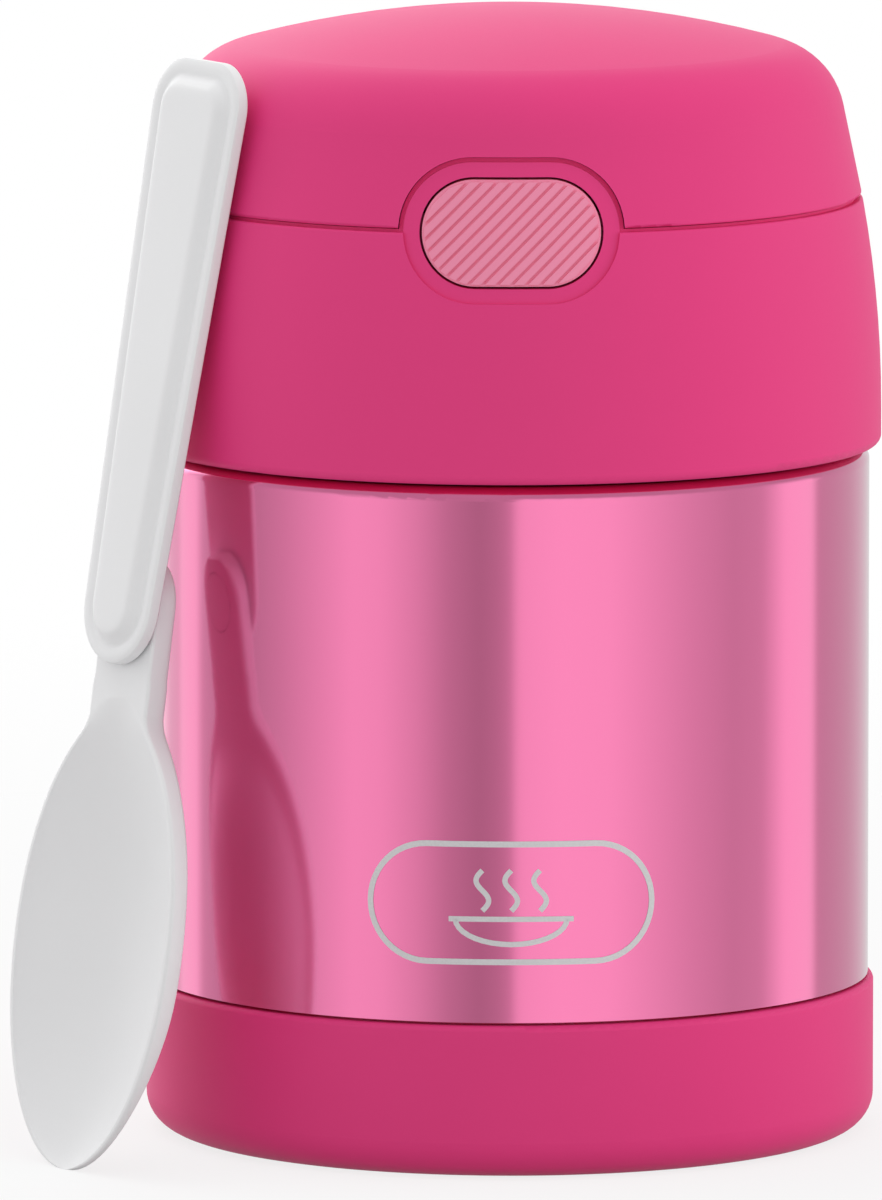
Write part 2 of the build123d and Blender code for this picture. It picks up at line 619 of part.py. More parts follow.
def spoon_bowl(plane):
    """Bowl and neck of the spoon; the neck lies behind the handle."""
    rim = -SPOON_GAP
    below = Pos(0, BOWL_L / 2, rim - FAR / 2) * Box(FAR, FAR, FAR)
    bowl = bowl_form(0, rim) & below
    start = BOWL_L - NECK_ROOT
    strip = Pos(0, (start + PIVOT_Y) / 2) * Rectangle(NECK_W, PIVOT_Y - start) + Pos(0, PIVOT_Y) * Circle(NECK_W / 2)
    neck = extrude(Plane.XY.offset(rim) * strip, -NECK_T)
    body = bowl + neck - (bowl_form(BOWL_WALL, rim) & below)
    body -= Pos(0, PIVOT_Y, 0) * Cylinder(RIVET_R + RIVET_GAP, FAR)
    head_z = rim - NECK_T
    body -= Pos(0, PIVOT_Y, head_z) * Cylinder(RIVET_HEAD_R + 2 * RIVET_GAP, 2 * (RIVET_HEAD_T + RIVET_GAP))
    return plane.location * body & block(-FAR, FAR, -FAR, FAR, 0, FAR)


def handle_outline(inset):
    """Tapered outline of the handle, round at the pivot."""
    corner = HANDLE_CORNER - inset
    top_y = PIVOT_Y - HANDLE_END_R + HANDLE_L - HANDLE_CORNER
    corner_x = HANDLE_W / 2 - HANDLE_CORNER
    circles = [Pos(0, PIVOT_Y) * Circle(HANDLE_END_R - inset)]
    circles += [Pos(side * corner_x, top_y) * Circle(corner) for side in (-1, 1)]
    return make_hull([edge for circle in circles for edge in circle.edges()])


def spoon_handle(plane):
    """Handle: a flange with a raised soft-edged panel."""
    flange = extrude(handle_outline(0), HANDLE_T)
    flange = fillet(flange.edges().group_by(Axis.Z)[-1], FLANGE_ROUND)
    panel = extrude(handle_outline(PANEL_INSET), HANDLE_T + PANEL_T)
    panel = fillet(panel.edges().group_by(Axis.Z)[-1], PANEL_ROUND)
    socket = Pos(0, PIVOT_Y, 0) * Cylinder(RIVET_R + RIVET_GAP, 2 * RIVET_DEPTH)
    turn = Pos(0, PIVOT_Y, 0) * Rot(0, 0, -HANDLE_TURN) * Pos(0, -PIVOT_Y, 0)
    return plane.location * turn * (flange + panel - socket)


def spoon_rivet(plane):
    """Headed pivot: fixed in the handle, turns in the neck, head sunk in its back."""
    back = -SPOON_GAP - NECK_T
    bottom = Align.MIN
    shaft = Pos(0, PIVOT_Y, back) * Cylinder(
        RIVET_R, RIVET_DEPTH - back, align=(Align.CENTER, Align.CENTER, bottom)
    )
    head = Pos(0, PIVOT_Y, back) * Cylinder(
        RIVET_HEAD_R, RIVET_HEAD_T, align=(Align.CENTER, Align.CENTER, bottom)
    )
    return plane.location * (shaft + head)


# ---------------------------------------------------------------- assembly
def build_parts():
    """Every sub-part, by node name."""
    form = lid_form()
    plane = spoon_plane()
    return {
        "outer_shell": outer_shell(),
        "inner_vessel": inner_vessel(),
        "shell_bottom": shell_bottom(),
        "vacuum_seal": vacuum_seal(),
        "getter": getter(),
        "foil_wrap": foil_wrap(),
        "base_cap": base_cap(),
        "lid_gasket": lid_gasket(),
        "stopper_cup": stopper_cup(),
        "stopper_foam": stopper_foam(),
        "lid_collar": lid_collar(form),
        "spoon_tray": spoon_tray(),
        "cover": cover(form),
        "hinge_pin": hinge_pin(),
        "cover_spring": cover_spring(),
        "latch_button": latch_button(form),
        "latch_slide": latch_slide(),
        "button_spring": button_spring(),
        "spoon_bowl": spoon_bowl(plane),
        "spoon_handle": spoon_handle(plane),
        "spoon_rivet": spoon_rivet(plane),
    }


os.makedirs("parts", exist_ok=True)
for name, shape in build_parts().items():
    export_step(shape, f"parts/{name}.step")
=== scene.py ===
import json
import math

import bmesh
import bpy
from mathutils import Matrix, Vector


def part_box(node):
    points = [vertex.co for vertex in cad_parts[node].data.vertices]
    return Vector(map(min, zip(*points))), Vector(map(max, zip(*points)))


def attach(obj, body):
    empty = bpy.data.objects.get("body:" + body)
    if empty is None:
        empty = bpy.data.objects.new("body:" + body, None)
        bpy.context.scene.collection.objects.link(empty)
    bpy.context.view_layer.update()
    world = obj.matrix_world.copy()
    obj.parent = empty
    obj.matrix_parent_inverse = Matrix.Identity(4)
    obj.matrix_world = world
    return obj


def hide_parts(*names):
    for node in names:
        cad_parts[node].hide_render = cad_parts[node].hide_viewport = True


# Insulated food jar: finishes, threads, printed mark and the moulded spoon.
# Sizes are written in millimetres and turned into metres by MM.

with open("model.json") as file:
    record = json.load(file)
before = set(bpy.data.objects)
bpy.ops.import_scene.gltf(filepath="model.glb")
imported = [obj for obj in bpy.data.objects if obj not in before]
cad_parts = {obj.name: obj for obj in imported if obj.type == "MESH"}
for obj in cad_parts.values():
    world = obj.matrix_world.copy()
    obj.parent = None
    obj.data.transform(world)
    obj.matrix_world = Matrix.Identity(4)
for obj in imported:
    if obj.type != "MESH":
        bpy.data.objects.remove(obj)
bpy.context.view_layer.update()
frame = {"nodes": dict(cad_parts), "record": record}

MM = 0.001
TAU = 2 * math.pi
QUARTER = math.pi / 2

# ---------------------------------------------------------------- edges
# edges over these angles, in degrees, stay crisp
HANDLE_SHARP = 32
BOWL_SHARP = 45
MARK_SHARP = 40
THREAD_SHARP = 40

# ---------------------------------------------------------------- sizes of the threads
STEEL_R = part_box("outer_shell")[1].x / MM      # steel body
RIM_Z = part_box("inner_vessel")[1].z / MM       # mouth of the jar
NECK_R = 38.6
SKIRT_R = 40.4                                 # bore of the lid's skirt
THREAD_LEAD = 4.0
THREAD_W = 1.7                                 # foot of a thread
THREAD_CREST_W = 0.8
THREAD_TURNS = 2.25
THREAD_BELOW_RIM = 3.0
THREAD_SINK = 0.15                             # how far its foot goes into the wall
THREAD_RUN = 14.0                              # degrees over which a thread rises from nothing
THREAD_STEPS = 120                             # sections in a turn
NECK_THREAD_H = 1.15
SKIRT_THREAD_H = 1.15

# ---------------------------------------------------------------- sizes of the printed mark
MARK_Z = 33.0                                  # middle of the printed mark
MARK_W = 34.0
MARK_H = 14.0
MARK_LINE = 0.7                                # width of the frame's line
MARK_THIN = 0.63                               # and of the lines inside it
MARK_LIFT = 0.03                               # ink above the steel
MARK_STEP = 0.6                                # longest straight stretch on the round steel
MARK_END_STEPS = 24
WISP_COLUMNS = (-3.4, 0, 3.4)                  # three wisps of steam
WISP_SWAY = 0.75
WISP_FOOT = -0.9
WISP_H = 4.8
WISP_STEPS = 20
DISH_Z = -1.9                                  # brim of the drawn bowl, from the mark's middle
DISH_HALF = 6.6
DISH_DEPTH = 3.0
DISH_BRIM_HALF = 7.4
DISH_STEPS = 18

# ---------------------------------------------------------------- sizes of the spoon
# in its own plane: x across, y from the tip, z out of the face
HANDLE_END_R = 7.1                             # round end of the handle at the pivot
HANDLE_W = 18.4
HANDLE_L = 72.3
HANDLE_CORNER = 6.0
CORNER_STEPS = 20
# inset from the outline and height, from the back of the handle over its flange to the raised panel
HANDLE_PROFILE = (
    (0.25, 0), (0, 0.25), (0, 1.1), (0.12, 1.4), (0.45, 1.58), (0.9, 1.6), (1.45, 1.58), (1.75, 1.47),
    (2.0, 1.42), (2.3, 1.5), (2.7, 1.84), (3.15, 2.25), (3.45, 2.45), (3.8, 2.54), (4.3, 2.57), (4.8, 2.58),
)

BOWL_W = 33.0
BOWL_L = 54.0
BOWL_MIDDLE = BOWL_L / 2
BOWL_RIM_Z = -0.3                              # rim plane, behind the back of the handle
BOWL_BACK = 13.2                               # ellipsoid of the bowl's back: depth and its centre's height
BOWL_FLARE = 5.0
BOWL_SPREAD = 1 - (BOWL_FLARE / BOWL_BACK) ** 2
BOWL_SIDE = 3.0                                # upright side of the bowl below its rim
SIDE_AT_TIP = 0.3                              # share of that side at the tip
SIDE_GROWN = 0.8                               # and where it is whole, as a share of the bowl's half
SIDE_SQUARE = 0.2                              # a lower power gives a squarer section
BACK_SQUARE = 0.55
NECK_SQUARE = 0.3
BACK_STEPS = 30

BOWL_HOLLOW = 6.0                              # deepest place below the rim
HOLLOW_END = 56.3                              # the hollow runs out in an arch on the neck
HOLLOW_ARCH = 2.2                              # height of that arch
RISE_TO_TIP = 0.72                             # powers of the hollow's curve: along it, both ways
RISE_TO_NECK = 1.15
RISE_ACROSS = 0.8                              # and across it
HOLLOW_STEPS = 14                              # from the middle to the lip
RIM_LIP = 0.85                                 # flat lip around the hollow
LIP_SHARE = 0.4                                # at most this share of the half width
LIP_PLACES = (0.12, 0.6, 1.0)                  # points across the lip
LIP_ROUND = 0.45                               # rounding outside it, and its angles
LIP_ANGLES = (0.4, 0.8, 1.2, QUARTER)

NECK_HALF = 5.8
NECK_T = 3.4
NECK_BLEND = 2.2                               # softness of the shoulder between bowl and neck
BLEND_END = 1.08                               # which ends here, as a share of the bowl's length
BLEND_LEAST = 0.001
NECK_GROWN = 1.4                               # where the neck's width counts in full, in half bowls
NECK_FLAT_FROM = 1.62                          # and where the back begins to flatten
TIP_STEPS = 30                                 # sections of the bowl up to its middle
TIP_START = 0.35                               # the first one, as a share of a step
ARCH_STEPS = 40                                # sections up to the hollow's end
ARCH_CROWD = 1.6                               # which lie closer together near that end
NECK_STEPS = 8                                 # sections up to the pivot
END_STEPS = 16                                 # and round the neck's end
END_CROWD = 0.8
RIVET_HEAD_R = 3.7                             # recess of the rivet's head in the back of the neck
RIVET_HEAD_T = 1.25
RECESS_REACH = 1.0                             # the cut starts this far outside the neck
RECESS_STEPS = 48

# ---------------------------------------------------------------- camera and light
CAMERA_AIM = Vector((-8.26, 0, 63.4)) * MM
CAMERA_DISTANCE = 2.156
CAMERA_ELEVATION = 7.4
CAMERA_LENS = 540.0
CAMERA_SENSOR = 36.0
CAMERA_REACH = 20.0                            # nothing beyond this distance is drawn

# brightness of the studio round the jar, by direction: degrees from the button's side
STUDIO = (
    (-180, 0.75), (-134, 0.78), (-131, 1.0), (-121, 1.0), (-117, 0.62), (-96, 0.45), (-78, 0.62),
    (-52, 0.93), (-42, 0.90), (-30, 0.73), (-20, 0.52), (-10, 0.41), (-4, 0.47), (0, 0.56), (2, 0.94),
    (16, 1.0), (32, 0.98), (60, 0.70), (76, 0.58), (88, 0.62), (99, 1.0), (113, 1.0), (117, 0.55),
    (140, 0.58), (180, 0.75),
)
FILL_FRONT = 0.75                              # soft light from the button's side, for matt surfaces
FILL_BACK = 0.90                               # and from behind
FILL_TURN = (0.3, 0.7)                         # one passes into the other between these, back to front
CEILING = 0.5                                  # brightness above the panels, in reflections
CEILING_EDGE = (0.08, 0.35)                    # it begins between these heights
GLOW = 2.2                                     # soft panel behind the jar, for the dome's sheen
GLOW_AT = Vector((-0.35, 0.85, 0.40))
GLOW_EDGE = (0.82, 0.96)                       # cosines of the angle to it, at its foot and in full

FLOOR_WHITE = 0.62                             # brightness of the floor as it lights the jar
FLOOR_GLOW = 0.80                              # share of its white, as seen, that no shadow takes away
FLOOR_SEEN = 0.16                              # and the share that the light makes
FLOOR_FADE = (0.16, 0.5)                       # the floor fades into white between these distances
FLOOR_MOTTLE = 0.03                            # darkening by its faint mottle
FLOOR_STEPS = 96

# soft lamps: name, place, size, power
LAMPS = (
    ("top_softbox", (-0.45, 0.35, 1.4), 1.0, 4.0),
    ("right_softbox", (1.7, -0.1, 0.4), 1.0, 7.9),
    ("front_softbox", (0.2, -2.0, 0.7), 1.4, 1.5),
    ("spoon_softbox", (-1.4, 1.0, 0.25), 0.8, 4.4),
)

BLACK = (0.0, 0.0, 0.0, 1.0)
WHITE = (1.0, 1.0, 1.0, 1.0)


# ---------------------------------------------------------------- shader maths
class Value:
    """What comes out of a node; arithmetic on it adds Math nodes."""

    def __init__(self, nodes, socket):
        self.nodes = nodes
        self.socket = socket

    def math(self, operation, *others):
        return self.nodes.math(operation, self, *others)

    def output(self, key):
        """Another output of the same node."""
        return Value(self.nodes, self.socket.node.outputs[key])

    def __add__(self, other):
        return self.math("ADD", other)

    def __sub__(self, other):
        return self.math("SUBTRACT", other)

    def __mul__(self, other):
        return self.math("MULTIPLY", other)

    def __truediv__(self, other):
        return self.math("DIVIDE", other)

    def __rsub__(self, other):
        return self.nodes.math("SUBTRACT", other, self)

    __radd__ = __add__
    __rmul__ = __mul__


class Nodes:
    """The node tree of a material or the world."""

    def __init__(self, tree):
        self.tree = tree

    def node(self, kind, settings=None, values=None, output=0):
        """Adds a node: its settings first, then the numbers or links of its sockets."""
        made = self.tree.nodes.new(kind)
        for key, setting in (settings or {}).items():
            if key == "stops":
                self.set_stops(made.color_ramp, setting)
            else:
                setattr(made, key, setting)
        for key, value in (values or {}).items():
            self.feed(made.inputs[key], value)
        return Value(self, made.outputs[output])

    def set_stops(self, ramp, stops):
        while len(ramp.elements) < len(stops):
            ramp.elements.new(1.0)
        for element, (place, colour) in zip(ramp.elements, stops):
            element.position = place
            element.color = colour

    def feed(self, socket, value):
        if isinstance(value, Value):
            self.tree.links.new(value.socket, socket)
        else:
            socket.default_value = value

    def math(self, operation, *values):
        return self.node("ShaderNodeMath", {"operation": operation}, dict(enumerate(values)))

    def vector_math(self, operation, *values, output=0):
        return self.node("ShaderNodeVectorMath", {"operation": operation}, dict(enumerate(values)), output)

    def place(self):
        """Position in metres, which moves with the piece."""
        return self.node("ShaderNodeTexCoord", output="Object")

    def ray(self, kind):
        """1 for rays of a kind, such as Camera or Glossy."""
        return self.node("ShaderNodeLightPath", output=f"Is {kind} Ray")

    def noise(self, scale, detail=2.0, vector=None):
        values = {"Vector": vector or self.place(), "Scale": scale, "Detail": detail}
        return self.node("ShaderNodeTexNoise", None, values)

    def lines(self, stretch, detail=2.0):
        """Noise drawn out into lines: a large number packs it closely along that axis."""
        return self.noise(1.0, detail, self.vector_math("MULTIPLY", self.place(), stretch))

    def cells(self, scale, feature="F1"):
        values = {"Vector": self.place(), "Scale": scale}
        return self.node("ShaderNodeTexVoronoi", {"feature": feature}, values)

    def ramp(self, value, *stops):
        return self.node("ShaderNodeValToRGB", {"stops": stops}, {"Fac": value})

    def fade(self, value, span, first=BLACK, last=WHITE):
        """Passes from one colour to another as a value goes over a span."""
        return self.ramp(value, (span[0], first), (span[1], last))

    def mix(self, factor, first, second):
        return self.node("ShaderNodeMix", {"data_type": "RGBA"}, {0: factor, 6: first, 7: second}, 2)

    def bump(self, height, distance):
        return self.node("ShaderNodeBump", None, {"Height": height, "Distance": distance})


class Finish(Nodes):
    """One surface finish on a Principled shader."""

    def __init__(self, name, sockets):
        self.material = bpy.data.materials.new(name)
        self.material.use_nodes = True
        super().__init__(self.material.node_tree)
        self.shader = self.tree.nodes["Principled BSDF"]
        self.set(sockets)

    def set(self, sockets):
        for key, value in sockets.items():
            self.feed(self.shader.inputs[key], value)

    def skin(self, colour, rough, relief, depth):
        """Sets colour, roughness and a relief of a depth in mm, and gives the finished material."""
        self.set({"Base Color": colour, "Roughness": rough, "Normal": self.bump(relief, depth * MM)})
        return self.material


def rgb(red, green, blue):
    """Linear colour from 0-255 screen values, by the sRGB curve."""
    def linear(value):
        share = value / 255
        return share / 12.92 if share <= 0.04045 else ((share + 0.055) / 1.055) ** 2.4
    return linear(red), linear(green), linear(blue), 1.0


def grey(value):
    return value, value, value, 1.0


def shade(colour, factor):
    return tuple(min(1.0, c * factor) for c in colour[:3]) + (1.0,)


# ---------------------------------------------------------------- finishes
METAL = {"Metallic": 1.0}
LACQUERED = {**METAL, "Coat Weight": 1.0}
MOULDED = {"Specular IOR Level": 0.34}
POROUS = {"Specular IOR Level": 0.2}
RUBBERY = {
    "Specular IOR Level": 0.35, "Subsurface Weight": 0.2, "Subsurface Radius": (0.4, 0.4, 0.4),
    "Subsurface Scale": 0.002,
}
INKED = {"Metallic": 0.35}

LID_PINK = rgb(234, 58, 130)
BUTTON_PINK = rgb(250, 147, 179)
LACQUER_PINK = rgb(255, 129, 184)
SPOON_WHITE = rgb(240, 240, 241)
STOPPER_WHITE = rgb(232, 229, 226)
LINER_STEEL = rgb(214, 214, 217)
PIN_STEEL = rgb(205, 205, 209)
DULL_STEEL = rgb(196, 196, 200)


def moulding(name, colour, rough, depth=0.006, scale=2600):
    """Moulded plastic: a fine spark-eroded grain, flow clouds and a slightly uneven sheen."""
    finish = Finish(name, MOULDED)
    clouds = finish.noise(scale=38, detail=3.0)
    speck = finish.noise(scale=scale, detail=3.0)
    dark, light, in_speck = 0.965, 1.035, 0.86
    speck_share = 0.10
    clouded = finish.mix(clouds, shade(colour, dark), shade(colour, light))
    tint = finish.mix(speck * speck_share, clouded, shade(colour, in_speck))
    polish, cloud_sheen, speck_sheen = 0.03, 0.05, 0.04
    sheen = rough - polish + clouds * cloud_sheen + speck * speck_sheen
    return finish.skin(tint, sheen, speck, depth)


def lacquered_steel(name, colour, rough, stretch, depth):
    """Polished steel under a clear tinted lacquer, with faint turning lines."""
    finish = Finish(name, LACQUERED)
    lines = finish.lines(stretch)
    clouds = finish.noise(scale=26)
    line_share, cloud_share, dark = 0.35, 0.3, 0.97
    tint = finish.mix(lines * line_share + clouds * cloud_share, shade(colour, dark), colour)
    line_sheen, cloud_sheen = 0.03, 0.02
    return finish.skin(tint, rough + lines * line_sheen + clouds * cloud_sheen, lines, depth)


def brushed_steel(name, colour, rough, stretch, depth=0.0012):
    """Bare steel with drawing or turning lines along one way."""
    finish = Finish(name, METAL)
    lines = finish.lines(stretch, detail=3.0)
    clouds = finish.noise(scale=60, detail=3.0)
    dark, light = 0.9, 1.05
    line_sheen, cloud_sheen = 0.12, 0.05
    tint = finish.mix(lines, shade(colour, dark), shade(colour, light))
    return finish.skin(tint, rough + lines * line_sheen + clouds * cloud_sheen, lines, depth)


def crinkled_foil(name, dark, light, rough, spread, depth):
    """Thin reflective foil with soft creases."""
    finish = Finish(name, METAL)
    creases = finish.cells(scale=120.0, feature="DISTANCE_TO_EDGE")
    wrinkle = finish.noise(scale=320, detail=4.0)
    crease_share, wrinkle_share = 0.6, 0.4
    relief = creases * crease_share + wrinkle * wrinkle_share
    return finish.skin(finish.mix(wrinkle, dark, light), rough + wrinkle * spread, relief, depth)


def grained(name, sockets, pattern, dark, light, rough, spread, depth):
    """One pattern in colour, sheen and relief: a method of Nodes, with its numbers."""
    finish = Finish(name, sockets)
    make, *numbers = pattern
    grain = make(finish, *numbers)
    return finish.skin(finish.mix(grain, dark, light), rough + grain * spread, grain, depth)


FINISHES = {
    "coated_steel": lacquered_steel(
        "coated_steel", LACQUER_PINK, rough=0.10, stretch=(30, 30, 5200), depth=0.0004),
    "bare_steel": brushed_steel("bare_steel", LINER_STEEL, rough=0.22, stretch=(60, 60, 3800)),
    "seal_metal": brushed_steel("seal_metal", DULL_STEEL, rough=0.35, stretch=(900, 900, 900), depth=0.01),
    "getter_metal": grained(
        "getter_metal", METAL, (Nodes.cells, 3800.0), rgb(96, 96, 102), rgb(150, 150, 155),
        rough=0.5, spread=0.25, depth=0.03),
    "foil": crinkled_foil(
        "foil", rgb(205, 207, 212), rgb(232, 233, 236), rough=0.18, spread=0.14, depth=0.12),
    "pink_plastic": moulding("pink_plastic", LID_PINK, rough=0.52),
    "button_plastic": moulding("button_plastic", BUTTON_PINK, rough=0.46, depth=0.004),
    "white_plastic": moulding("white_plastic", SPOON_WHITE, rough=0.40, depth=0.002, scale=1800),
    "stopper_plastic": moulding("stopper_plastic", STOPPER_WHITE, rough=0.42, depth=0.003),
    "foam": grained(
        "foam", POROUS, (Nodes.cells, 1500.0), rgb(226, 220, 200), rgb(247, 244, 232),
        rough=0.75, spread=0.2, depth=0.12),
    "silicone": grained(
        "silicone", RUBBERY, (Nodes.noise, 900, 4.0), rgb(222, 218, 214), rgb(240, 238, 236),
        rough=0.5, spread=0.2, depth=0.01),
    "pin_steel": brushed_steel("pin_steel", PIN_STEEL, rough=0.25, stretch=(5200, 40, 40)),
    "spring_steel": brushed_steel("spring_steel", DULL_STEEL, rough=0.28, stretch=(2500, 2500, 2500)),
    "silver_ink": grained(
        "silver_ink", INKED, (Nodes.noise, 4200, 3.0), rgb(208, 207, 209), rgb(232, 231, 232),
        rough=0.36, spread=0.2, depth=0.004),
}


def finish_nodes():
    """Gives every solid of the frame the finish of its material slot."""
    for subpart in frame["record"]["subparts"]:
        mesh = frame["nodes"][subpart["node"]].data
        mesh.materials.clear()
        mesh.materials.append(FINISHES[subpart["material_slot"]])


# ---------------------------------------------------------------- mesh helpers
def show(name, data):
    """Puts new data, such as a mesh or a lamp, in the scene."""
    made = bpy.data.objects.new(name, data)
    bpy.context.scene.collection.objects.link(made)
    return made


def to_data(name, mesh):
    """Turns a bmesh into mesh data."""
    data = bpy.data.meshes.new(name)
    mesh.to_mesh(data)
    mesh.free()
    return data


def piece(name, mesh, body, finish, sharp, replaces=None):
    """Makes a shown piece from a bmesh and hangs it on its body."""
    bmesh.ops.recalc_face_normals(mesh, faces=mesh.faces)
    data = to_data(name, mesh)
    data.materials.append(FINISHES[finish])
    data.shade_smooth()
    data.set_sharp_from_angle(angle=math.radians(sharp))
    made = show(name, data)
    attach(made, body)
    if replaces:
        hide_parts(replaces)
    return made


def bridge(mesh, rings, closed=True, capped=True):
    """Joins loops of points with quads; each loop has the same number of points."""
    loops = [[mesh.verts.new(Vector(point) * MM) for point in ring] for ring in rings]
    count = len(loops[0])
    for near, far in zip(loops, loops[1:]):
        for i in range(count if closed else count - 1):
            j = (i + 1) % count
            mesh.faces.new((near[i], near[j], far[j], far[i]))
    if capped:
        mesh.faces.new(reversed(loops[0]))
        mesh.faces.new(loops[-1])
    return loops


def cut(made, tool):
    """Takes a tool's volume out of a piece."""
    bmesh.ops.recalc_face_normals(tool, faces=tool.faces)
    block = show("tool", to_data("tool", tool))
    change = made.modifiers.new("recess", "BOOLEAN")
    change.object = block
    change.operation = "DIFFERENCE"
    bpy.context.view_layer.update()
    shaped = bpy.data.meshes.new_from_object(made.evaluated_get(bpy.context.evaluated_depsgraph_get()))
    made.modifiers.clear()
    made.data = shaped
    bpy.data.objects.remove(block)


def arc(x, y, across, up, first, last, steps):
    """Points round (x, y) from one angle to another, in degrees."""
    angles = [math.radians(first + (last - first) * i / steps) for i in range(steps + 1)]
    return [(x + across * math.cos(angle), y + up * math.sin(angle)) for angle in angles]


# ---------------------------------------------------------------- threads
def thread(name, body, finish, root_r, height, low_z, start_angle):
    """Helical ridge with tapered ends; a negative height points inwards."""
    mesh = bmesh.new()
    steps = int(THREAD_TURNS * THREAD_STEPS)
    foot = root_r - math.copysign(THREAD_SINK, height)
    rings = []
    for i in range(steps + 1):
        turned = i / steps * THREAD_TURNS * 360
        rise = min(1.0, turned / THREAD_RUN, (THREAD_TURNS * 360 - turned) / THREAD_RUN)
        rise = math.sin(rise * QUARTER)
        angle = math.radians(start_angle + turned)
        z = low_z + turned / 360 * THREAD_LEAD
        crest = root_r + height * rise
        crest_half = THREAD_CREST_W / 2 * rise
        half = THREAD_W / 2
        section = (
            (foot, -half), (root_r, -half), (crest, -crest_half),
            (crest, crest_half), (root_r, half), (foot, half),
        )
        rings.append([(r * math.cos(angle), r * math.sin(angle), z + dz) for r, dz in section])
    bridge(mesh, rings)
    piece(name, mesh, body, finish, THREAD_SHARP)


def threads():
    """Thread on the jar's neck, and the one inside the lid that runs between its turns."""
    low = RIM_Z - THREAD_BELOW_RIM - THREAD_TURNS * THREAD_LEAD
    thread("neck_thread", "jar", "bare_steel", NECK_R, NECK_THREAD_H, low, 0)
    thread("skirt_thread", "lid", "pink_plastic", SKIRT_R, -SKIRT_THREAD_H, low, 180)


# ---------------------------------------------------------------- printed mark
def finely(points, closed):
    """The same line with more points, so that it bends round the steel."""
    fine = []
    for start, end in zip(points, points[1:] + points[:1] if closed else points[1:]):
        count = max(1, round(math.dist(start, end) / MARK_STEP))
        fine += [Vector(start).lerp(Vector(end), i / count) for i in range(count)]
    return fine if closed else fine + [Vector(points[-1])]


def stroke(mesh, points, width, closed=False):
    """Flat line of a given width, wrapped on the steel; points are (across, up)."""
    points = finely(points, closed)
    count = len(points)
    radius = STEEL_R + MARK_LIFT
    inner, outer = [], []
    for i, point in enumerate(points):
        before = points[(i - 1) % count] if closed or i else points[0]
        after = points[(i + 1) % count] if closed or i < count - 1 else points[-1]
        along = (after - before).normalized()
        side = Vector((-along.y, along.x)) * width / 2
        for ring, sign in ((inner, -1), (outer, 1)):
            across, up = point + sign * side
            angle = across / STEEL_R
            ring.append((radius * math.sin(angle), -radius * math.cos(angle), MARK_Z + up))
    low, high = bridge(mesh, [inner, outer], closed=False, capped=False)
    if closed:
        mesh.faces.new((low[-1], low[0], high[0], high[-1]))


def printed_mark():
    """Plain silver print: a round-ended frame with three wisps of steam over a bowl."""
    mesh = bmesh.new()
    end = MARK_H / 2
    reach = MARK_W / 2 - end
    right = arc(reach, 0, end, end, -90, 90, MARK_END_STEPS)
    left = arc(-reach, 0, end, end, 90, 270, MARK_END_STEPS)
    stroke(mesh, right + left, MARK_LINE, closed=True)
    for column in WISP_COLUMNS:
        shares = [i / WISP_STEPS for i in range(WISP_STEPS + 1)]
        wisp = [(column + WISP_SWAY * math.sin(s * TAU), WISP_FOOT + WISP_H * s) for s in shares]
        stroke(mesh, wisp, MARK_THIN)
    stroke(mesh, arc(0, DISH_Z, DISH_HALF, DISH_DEPTH, 180, 360, DISH_STEPS), MARK_THIN)
    stroke(mesh, [(x, DISH_Z) for x in (-DISH_BRIM_HALF, 0, DISH_BRIM_HALF)], MARK_THIN)
    piece("front_mark", mesh, "jar", "silver_ink", MARK_SHARP)


# ---------------------------------------------------------------- spoon
class Spoon:
    """The spoon's plane, found from the joints of the record."""

    def __init__(self):
        joints = {joint["name"]: joint for joint in frame["record"]["behaviour"]["joints"]}
        fold = joints["spoon_fold"]
        pivot = Vector(fold["pos_m"]) / MM
        foot = Vector(joints["spoon_tilt"]["pos_m"]) / MM
        self.face = -Vector(fold["axis"]).normalized()
        self.tip = foot + Vector((0, 0, (pivot - foot).dot(self.face) / self.face.z))
        self.pivot_y = (pivot - self.tip).length
        self.along = (pivot - self.tip).normalized()
        self.across = self.along.cross(self.face)
        self.turn = math.radians(-fold["range_deg"][0])

    def point(self, x, y, z):
        """Place of a point of the bowl; nothing goes below the floor."""
        place = self.tip + self.across * x + self.along * y + self.face * z
        return Vector((place.x, place.y, max(0.0, place.z)))

    def on_handle(self, x, y, z):
        """Place of a point of the handle, which is turned about the pivot; y runs from there."""
        cos, sin = math.cos(self.turn), math.sin(self.turn)
        return self.point(x * cos + y * sin, self.pivot_y - x * sin + y * cos, z)


def smooth_max(first, second, softness):
    return (first + second + math.hypot(first - second, softness)) / 2


def ease(low, high, value):
    share = min(1.0, max(0.0, (value - low) / (high - low)))
    return share * share * (3 - 2 * share)


def squared(cos, power):
    """Cosine of a rounded square: the lower the power, the squarer."""
    return math.copysign(abs(cos) ** power, cos)


def handle_ring(spoon, inset, height):
    """Outline of the handle moved in by an inset: a round end and two rounded corners."""
    corner_x = HANDLE_W / 2 - HANDLE_CORNER
    top = HANDLE_L - HANDLE_END_R - HANDLE_CORNER
    taper = math.degrees(math.acos((HANDLE_END_R - HANDLE_CORNER) / math.hypot(corner_x, top)))
    start = math.degrees(math.atan2(top, corner_x)) - taper
    rounds = (
        (corner_x, top, HANDLE_CORNER, start, 90), (-corner_x, top, HANDLE_CORNER, 90, 180 - start),
        (0, 0, HANDLE_END_R, 180 - start, 360 + start),
    )
    ring = []
    for x, y, radius, first, last in rounds:
        reach = radius - inset
        ring += arc(x, y, reach, reach, first, last, CORNER_STEPS)
    return [spoon.on_handle(x, y, height) for x, y in ring]


